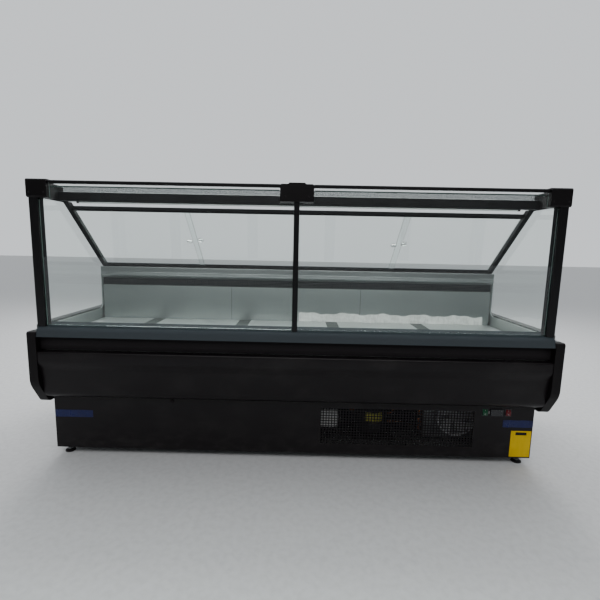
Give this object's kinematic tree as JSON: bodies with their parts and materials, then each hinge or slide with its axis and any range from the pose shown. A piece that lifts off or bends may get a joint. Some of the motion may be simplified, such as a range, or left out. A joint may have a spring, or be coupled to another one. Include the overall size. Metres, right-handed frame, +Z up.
{
  "type": "refrigerated deli case",
  "caption": "Plug-in serve-over display case: insulated black tub on a machine base, glass superstructure with lift-up front panes and slanted sliding rear doors.",
  "frame": {"origin": "on the floor, under the middle of the case's length and depth", "axes": "+X along the case to the customer's right, +Y from the customer to the server, +Z up"},
  "size_m": [2.5, 1, 1.346],
  "materials": {
    "black_paint": "satin",
    "black_moulding": "satin",
    "gloss_sill": "gloss",
    "black_aluminium": "satin",
    "black_rubber": "matte",
    "stainless": "satin",
    "galvanised": "matte",
    "foam_liner": "matte",
    "clear_glass": "polished",
    "air_honeycomb": "matte",
    "fin_stack": "satin",
    "compressor_shell": "satin",
    "junction_plastic": "matte",
    "fan_plastic": "matte",
    "lamp_diffuser": "satin",
    "display_plastic": "gloss",
    "green_rocker": "gloss",
    "red_rocker": "gloss"
  },
  "bodies": {
    "case": {"back_panel": "stainless", "base_end_frame_left": "black_paint", "base_end_frame_right": "black_paint", "base_front_panel": "black_paint", "base_rear_panel": "black_paint", "base_tray": "galvanised", "bumper_strip": "black_rubber", "centre_block": "black_moulding", "compressor": "compressor_shell", "condenser": "fin_stack", "corner_block_left": "black_moulding", "corner_block_right": "black_moulding", "corner_post_left": "black_aluminium", "corner_post_right": "black_aluminium", "deck_plate_left": "stainless", "deck_plate_right": "stainless", "door_bottom_track": "black_aluminium", "door_side_member_left": "black_aluminium", "door_side_member_right": "black_aluminium", "door_top_track": "black_aluminium", "end_panel_left": "black_moulding", "end_panel_right": "black_moulding", "evaporator_coil": "fin_stack", "fan_plate": "galvanised", "front_panel": "black_paint", "front_sill": "gloss_sill", "junction_box": "junction_plastic", "led_lamp": "lamp_diffuser", "levelling_foot_front_left": "black_rubber", "levelling_foot_front_right": "black_rubber", "levelling_foot_rear_left": "black_rubber", "levelling_foot_rear_right": "black_rubber", "mains_inlet": "black_rubber", "mullion": "black_aluminium", "rear_air_outlet": "air_honeycomb", "rear_top_beam": "black_aluminium", "return_air_grille": "stainless", "side_glass_left": "clear_glass", "side_glass_right": "clear_glass", "temperature_controller": "display_plastic", "top_glass": "clear_glass", "tub_floor": "foam_liner", "tub_front_wall": "foam_liner", "tub_rear_wall": "black_paint", "worktop": "stainless"},
    "front_pane_left": {"front_glass_left": "clear_glass", "glass_hinge_rail_left": "black_aluminium"},
    "front_pane_right": {"front_glass_right": "clear_glass", "glass_hinge_rail_right": "black_aluminium"},
    "door_1": {"rear_door_1": "clear_glass"},
    "door_2": {"rear_door_2": "clear_glass"},
    "door_3": {"rear_door_3": "clear_glass"},
    "door_4": {"rear_door_4": "clear_glass"},
    "condenser_fan": {"condenser_fan": "fan_plastic"},
    "evaporator_fan_left": {"evaporator_fan_left": "fan_plastic"},
    "evaporator_fan_right": {"evaporator_fan_right": "fan_plastic"},
    "rocker_green": {"rocker_switch_green": "green_rocker"},
    "rocker_red": {"rocker_switch_red": "red_rocker"},
    "button_down": {"button_down": "display_plastic"},
    "button_up": {"button_up": "display_plastic"}
  },
  "joints": [
    {"name": "front_pane_left_lift", "type": "hinge", "parent": "case", "child": "front_pane_left", "pos_m": [-0.6, -0.46, 1.334], "axis": [-1, 0, 0], "range_deg": [0, 85]},
    {"name": "front_pane_right_lift", "type": "hinge", "parent": "case", "child": "front_pane_right", "pos_m": [0.6, -0.46, 1.334], "axis": [-1, 0, 0], "range_deg": [0, 85]},
    {"name": "door_1_slide", "type": "slide", "parent": "case", "child": "door_1", "axis": [1, 0, 0], "range_m": [0, 0.54]},
    {"name": "door_2_slide", "type": "slide", "parent": "case", "child": "door_2", "axis": [1, 0, 0], "range_m": [-0.57, 0.54]},
    {"name": "door_3_slide", "type": "slide", "parent": "case", "child": "door_3", "axis": [1, 0, 0], "range_m": [-0.54, 0.57]},
    {"name": "door_4_slide", "type": "slide", "parent": "case", "child": "door_4", "axis": [1, 0, 0], "range_m": [-0.54, 0]},
    {"name": "condenser_fan_spin", "type": "hinge", "parent": "case", "child": "condenser_fan", "pos_m": [0.86, -0.292, 0.192], "axis": [0, 1, 0], "continuous": true},
    {"name": "evaporator_fan_left_spin", "type": "hinge", "parent": "case", "child": "evaporator_fan_left", "pos_m": [-0.6, 0.07, 0.486], "axis": [0, 1, 0], "continuous": true},
    {"name": "evaporator_fan_right_spin", "type": "hinge", "parent": "case", "child": "evaporator_fan_right", "pos_m": [0.6, 0.07, 0.486], "axis": [0, 1, 0], "continuous": true},
    {"name": "green_rocker_tilt", "type": "hinge", "parent": "case", "child": "rocker_green", "pos_m": [0.9475, -0.423, 0.273], "axis": [1, 0, 0], "range_deg": [0, 16]},
    {"name": "red_rocker_tilt", "type": "hinge", "parent": "case", "child": "rocker_red", "pos_m": [1.0615, -0.423, 0.273], "axis": [1, 0, 0], "range_deg": [0, 16]},
    {"name": "button_down_press", "type": "slide", "parent": "case", "child": "button_down", "axis": [0, 1, 0], "range_m": [0, 0.0008], "stiffness_N_per_m": 400},
    {"name": "button_up_press", "type": "slide", "parent": "case", "child": "button_up", "axis": [0, 1, 0], "range_m": [0, 0.0008], "stiffness_N_per_m": 400}
  ]
}
